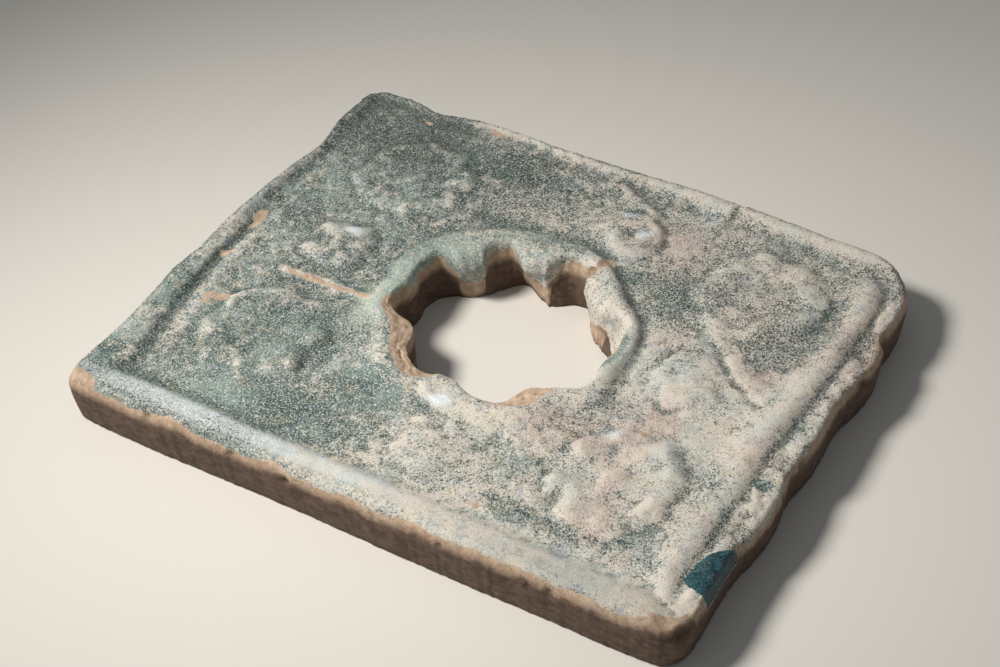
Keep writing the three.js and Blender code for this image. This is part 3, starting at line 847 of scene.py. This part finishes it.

# %% Bloom and painted glints, mint, rose, and grime with painted shade
# The bloom on the front bar is partly real and partly painted highlight; the small strong spots are painted
# glints.
bloom_and_glints = blob([
    (-110, -152, 100, 9, 0.95), (-20, -150, 60, 8, 0.8), (-130, 30, 26, 14, 0.55), (62, 146, 8, 8, 1.0),
    (17.5, 124.5, 8, 3.5, 1.7), (34, 110, 5, 5, 1.3), (-125, 27, 8, 4, 1.4), (3, -76, 7, 4, 1.3),
    (100, -52, 8, 6, 0.9), (115, -15, 20, 14, 0.35), (76, -45, 8, 6, 0.4), (152, -30, 16, 8, 0.35),
], 0.7)
mint = blob([
    (-75, -15, 16, 50, 0.9), (-45, 62, 34, 16, 0.7), (0, 72, 36, 9, 0.6), (-60, 45, 20, 16, 0.8),
    (110, 138, 40, 9, 0.5), (-180, -60, 10, 50, 0.35), (72, 92, 14, 10, 0.4), (-120, -130, 60, 10, 0.4),
], 0.7)
on_rim = 1 - step(np.abs(rim_gap + 3), 5, 14)
on_rim *= step(bearing(x, y), 80, 110) * (1 - step(bearing(x, y), 200, 240))
mint = np.maximum(mint, 0.52 * on_rim)
glaze += 0.14 * on_rim
rosy = np.clip(0.35 + 0.45 * noise(x, y, 30, 93), 0, 1) * (0.45 + 0.55 * step(x + 0.4 * y, -60, 60))
# Darker at the back left corner, where the light falls off: painted shade. Also darker along the right half
# of the front edge.
grime_and_corner_shade = blob([(-165, 140, 90, 50, 0.9), (130, -158, 90, 9, 0.9), (-120, 95, 40, 34, 0.3)], 0.8)
print("silvery bloom on", round(100 * (bloom_and_glints > 0.35).mean()), "% of the vertices")

# %% The sound pool, and keeping the maps
# Its outline, counter-clockwise, in millimetres.
POOL_EDGE = np.array([
    (205.5, -90), (199, -96), (190.5, -102), (187, -113), (185.5, -127), (191, -131.5), (205.5, -134),
])
in_pool = np.full(len(points), np.inf)
for (ax, ay), (bx, by) in zip(POOL_EDGE, np.roll(POOL_EDGE, -1, 0)):
    length = math.hypot(bx - ax, by - ay)
    in_pool = np.minimum(in_pool, ((bx - ax) * (y - ay) - (by - ay) * (x - ax)) / length)
pool = np.where(z > BULGE - 2, in_pool, FAR_OUTSIDE)
bare[pool > 0.5] = FAR_OUTSIDE

# One number at each vertex, for the material to read.
MAPS = {"bare": np.clip(bare, -10, 10), "glaze": np.clip(glaze, 0, 1.2), "fleck": np.clip(fleck, 0, 1.2),
        "bloom_and_glints": bloom_and_glints, "mint": mint, "rosy": rosy, "pool": np.clip(pool, -10, 10),
        "dirt_and_shade": np.clip(hollow, 0, 1.5) + grime_and_corner_shade, "deep": np.clip(deep, 0, 1)}
for name, values in MAPS.items():
    layer = tile_mesh.attributes.new(name, "FLOAT", "POINT")
    layer.data.foreach_set("value", np.asarray(values, np.float32))
print("maps stored:", ", ".join(MAPS))

# %% [markdown]
# The finish is one material, because it is one fired skin. Nodes read the maps and add what is finer
# than the mesh: mottling of a few millimetres, flecks of about a millimetre, and grit in the clay.
# Image textures could hold all that, but noise with a real size needs no unwrapping and stays sharp.

# %% Weathered alkaline glaze on earthenware
# Dulled glaze scatters light widely, with a soft shine left where it is sound. Clay is matt.
finish = bpy.data.materials.new("weathered_alkaline_glaze_on_earthenware")
finish.use_nodes = True
tree = finish.node_tree
tree.nodes.clear()


def add(kind, settings, inputs):
    """Adds a node, and sets or links its inputs by name or by number. Returns its first live output."""
    node = tree.nodes.new("ShaderNode" + kind)
    for name, value in settings.items():
        setattr(node, name, value)
    live = [socket for socket in node.inputs if socket.enabled]
    for name, value in inputs.items():
        socket = live[name] if isinstance(name, int) else next(s for s in live if s.name == name)
        if isinstance(value, bpy.types.NodeSocket):
            tree.links.new(value, socket)
        else:
            socket.default_value = value
    return next((socket for socket in node.outputs if socket.enabled), None)


place = add("TexCoord", {}, {}).node.outputs["Object"]
maps = {name: add("Attribute", {"attribute_name": name}, {}).node.outputs["Fac"] for name in MAPS}
# Size of the bumps in mm, layers of detail, roughness of the detail, distortion, and stretch along
# the level directions. Only the drag marks that a hand leaves on a clay wall are stretched. Real
# flecks, specks, dust and grit are finer still, down to a tenth of a millimetre. The render shows
# nothing under half a millimetre, so they are drawn at about 1 mm.
PATTERNS = {"cloud": (22, 3, 0.5, 0.3, 1), "stain": (9, 3, 0.6, 0.6, 1), "mottle": (6, 4, 0.66, 0.5, 1),
            "grain": (1.5, 3, 0.7, 0.6, 1), "fleck": (1.3, 3, 0.7, 0.8, 1), "speck": (1.0, 2, 0.6, 0.8, 1),
            "dust": (0.8, 2, 0.6, 0.3, 1), "grit": (1.1, 4, 0.7, 0.0, 1), "drag": (4.5, 4, 0.7, 0.8, 1.8)}
pattern = {}
for seed, (name, (size, detail, roughness, distortion, stretch)) in enumerate(PATTERNS.items()):
    moved = add("VectorMath", {"operation": "MULTIPLY_ADD"}, {
        0: place, 1: (1 / stretch, 1 / stretch, 1), 2: (3.1 * seed, 1.7 * seed, 0.9 * seed)})
    pattern[name] = add("TexNoise", {}, {"Vector": moved, "Scale": 1 / (size * MM), "Detail": detail,
                                         "Roughness": roughness, "Distortion": distortion})
print("patterns:", {name: f"{values[0]} mm" for name, values in PATTERNS.items()})

# %% [markdown]
# The glaze is a dull teal, and greener by the opening. The crust over it is ivory, with a rosy tint
# on the right. They could be two layers with clean edges, but decay eats into glaze grain by grain.
# So a map says how much of each shows, and patterns make that ragged.

# %% Glaze and crust
SMOOTH = {"interpolation_type": "SMOOTHSTEP"}
COLOUR = {"data_type": "RGBA"}


def ragged(base, strengths):
    """A map made ragged by patterns, each centred on zero and given a strength."""
    for name, strength in strengths.items():
        base = add("Math", {"operation": "MULTIPLY_ADD"}, {0: pattern[name], 1: strength, 2: base})
        base = add("Math", {"operation": "SUBTRACT"}, {0: base, 1: strength / 2})
    return base


def share_of(name, strengths, start, end, low=0.0, high=1.0):
    """How much of a finish shows: its ragged map, from low where that is start to high at end."""
    return add("MapRange", SMOOTH, {"Value": ragged(maps[name], strengths), "From Min": start,
                                    "From Max": end, "To Min": low, "To Max": high})


def coat(under, colour, value, start, end, most=1.0):
    """Lays a colour over another, from none where value is start to the most where it is end."""
    share = add("MapRange", SMOOTH, {"Value": value, "From Min": start, "From Max": end, "To Max": most})
    return add("Mix", COLOUR, {"Factor": share, "A": under, "B": colour})


DARK_TEAL, PALE_TEAL, MINT = linear("#31504d"), linear("#6f867f"), linear("#9aaa9e")
IVORY, COOL_IVORY, ROSE = linear("#cfc6b8"), linear("#c0c0b6"), linear("#bea99e")
OCHRE_STAIN, SLATE_STAIN = linear("#bdb28f"), linear("#87919a")

glaze_left = share_of("glaze", {"mottle": 1.5, "grain": 2.1}, 0.12, 0.78)
teal = coat(DARK_TEAL, PALE_TEAL, pattern["cloud"], 0.35, 0.65)
teal = coat(teal, MINT, ragged(maps["mint"], {"mottle": 0.8}), 0.3, 0.9)
ivory = coat(IVORY, COOL_IVORY, pattern["cloud"], 0.4, 0.62)
ivory = coat(ivory, ROSE, ragged(maps["rosy"], {"mottle": 0.9}), 0.35, 0.85)
skin = add("Mix", COLOUR, {"Factor": glaze_left, "A": ivory, "B": teal})
skin = coat(skin, OCHRE_STAIN, pattern["stain"], 0.56, 0.7, 0.38)
skin = coat(skin, SLATE_STAIN, pattern["stain"], 0.44, 0.32, 0.55)
print(len(tree.nodes), "nodes with the glaze and crust")

# %% [markdown]
# Grains of dark glaze show through the crust, most of all in hollows, and pale specks of crust lie
# on the dark glaze. They could be scattered as tiny objects, but they have hardly any height. So
# they are colour, wherever a fine pattern passes a threshold, and a map can lower the threshold.
# Last, hollows are darkened, partly as dirt and partly as painted shade, and the back left corner is
# darkened as painted shade where the light falls off.


# %% Flecks, dirt and painted shade, and bloom with painted glints
def sprinkle(under, colour, grains, threshold, width, most):
    """Lays a colour over another in grains, where a pattern passes a threshold."""
    past = add("Math", {"operation": "SUBTRACT"}, {0: pattern[grains], 1: threshold})
    return coat(under, colour, past, 0, width, most)


SILVER_BLOOM_AND_GLINT, DARK_GRAIN, FLECK = linear("#d2dcde"), linear("#263632"), linear("#1f3330")
SPECK, GRIME_AND_SHADE = linear("#dcd7cc"), linear("#4d5049")
SPECK_THRESHOLD = 0.53

# Pale silver where the bloom and the glints lie: partly the glaze's own bloom, partly painted highlight.
bloom_and_glint_share = share_of("bloom_and_glints", {"mottle": 1.7, "grain": 1.7}, 0.35, 1.25)
skin = add("Mix", COLOUR, {"Factor": bloom_and_glint_share, "A": skin, "B": SILVER_BLOOM_AND_GLINT})
grain_threshold = share_of("fleck", {"stain": 0.5}, 0, 0.7, 0.66, 0.49)
skin = sprinkle(skin, DARK_GRAIN, "dust", grain_threshold, 0.15, 0.74)
fleck_threshold = share_of("fleck", {"mottle": 1.1, "cloud": 0.6}, 0, 1, 0.62, 0.43)
skin = sprinkle(skin, FLECK, "fleck", fleck_threshold, 0.09, 0.92)
skin = sprinkle(skin, SPECK, "speck", SPECK_THRESHOLD, 0.1, 0.78)
# Darkens hollows, partly dirt and partly painted shade, and the back left corner as painted shade.
skin = coat(skin, GRIME_AND_SHADE, maps["dirt_and_shade"], 0.25, 1.5, 0.42)
print(len(tree.nodes), "nodes with the flecks, dirt and sheen")

# %% [markdown]
# The body is a sandy earthenware, pale on fresh breaks and darker low on the walls, partly from soil
# and partly as painted shade. The pool at the front right shows what the whole tile once was, a deep
# blue-green glass. Both could be materials of their own on chosen faces, but their edges would then
# follow the mesh's triangles.

# %% Clay and the one sound pool of glaze
CLAY, PALE_CLAY, GRIT = linear("#aa917a"), linear("#c8b098"), linear("#594436")
SOILED_AND_SHADED_CLAY, PALE_SOILED_AND_SHADED_CLAY = linear("#503f34"), linear("#6e594b")
DEEP_GLASS, BLUE_GREEN_GLASS, WORN_GLASS = linear("#10313a"), linear("#25535b"), linear("#6f8d8b")

clay = coat(CLAY, PALE_CLAY, pattern["mottle"], 0.38, 0.66)
# Darker low on the walls: partly soil, partly painted shade.
soiled_and_shaded = coat(SOILED_AND_SHADED_CLAY, PALE_SOILED_AND_SHADED_CLAY, pattern["drag"], 0.36, 0.66)
clay = coat(clay, soiled_and_shaded, ragged(maps["deep"], {"mottle": 0.7, "drag": 0.5}), 0.12, 0.6)
clay = coat(clay, GRIT, pattern["grit"], 0.54, 0.72, 0.75)
clay_share = share_of("bare", {"mottle": 4.5, "grain": 2.5}, -0.5, 0.5)
skin = add("Mix", COLOUR, {"Factor": clay_share, "A": skin, "B": clay})
sound = coat(DEEP_GLASS, BLUE_GREEN_GLASS, pattern["mottle"], 0.4, 0.62)
sound = sprinkle(sound, WORN_GLASS, "speck", SPECK_THRESHOLD, 0.08, 0.4)
pool_share = share_of("pool", {"mottle": 3.0, "grain": 2.0}, -0.3, 0.4)
skin = add("Mix", COLOUR, {"Factor": pool_share, "A": skin, "B": sound})
print(len(tree.nodes), "nodes with the clay and the pool")

# %% [markdown]
# Shine follows the same shares as colour. Decayed glaze is nearly matt, the silvery bloom and the
# pool are glossier, and clay is the most matt. The finest unevenness is bump and not shape, because
# it is smaller than the triangles of the mesh.

# %% Shine and grain
shine = add("MapRange", SMOOTH, {"Value": glaze_left, "To Min": 0.74, "To Max": 0.5})
for share, roughness in ((bloom_and_glint_share, 0.34), (clay_share, 0.9), (pool_share, 0.14)):
    shine = add("Mix", {"data_type": "FLOAT"}, {"Factor": share, "A": shine, "B": roughness})
relief = add("Math", {"operation": "MULTIPLY_ADD"}, {0: pattern["grain"], 1: 0.7, 2: pattern["grit"]})
relief = add("Math", {"operation": "MULTIPLY_ADD"}, {0: glaze_left, 1: -0.5, 2: relief})
relief = add("Math", {"operation": "MULTIPLY_ADD"}, {0: pattern["mottle"], 1: 1.2, 2: relief})
normal = add("Bump", {}, {"Strength": 0.8, "Distance": 0.5 * MM, "Height": relief})
glazed = add("BsdfPrincipled", {}, {"Base Color": skin, "Roughness": shine, "Normal": normal, "IOR": 1.5})
add("OutputMaterial", {}, {"Surface": glazed})
tile_mesh.materials.append(finish)
print(len(tree.nodes), "nodes in the whole finish")
